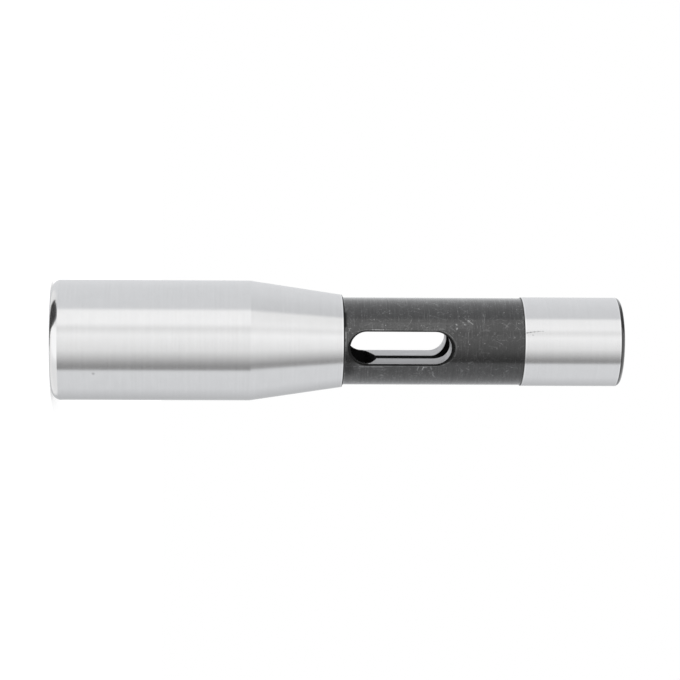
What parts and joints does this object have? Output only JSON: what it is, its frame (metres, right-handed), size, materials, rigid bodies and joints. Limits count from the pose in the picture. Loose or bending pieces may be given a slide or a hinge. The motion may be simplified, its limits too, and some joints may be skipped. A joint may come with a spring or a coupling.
{
  "type": "morse taper sleeve",
  "caption": "Turned steel adapter sleeve: tapered tool socket in a plain barrel, nose cone, blackened neck with a drift slot, and a keyed ground shank tapped for a drawbar.",
  "frame": {"origin": "middle of the mouth face, on the axis, where the sleeve stands on its mouth", "axes": "+Z along the axis from the mouth to the drawbar end; the drift slot runs along Y, and the keyway is on the +Y side"},
  "size_m": [0.0324, 0.0324, 0.1537],
  "materials": {
    "steel": "ground bright on the barrel, cone and shank, blackened on the neck and the shank's end"
  },
  "bodies": {
    "root": {"taper_sleeve": "steel"}
  },
  "joints": []
}
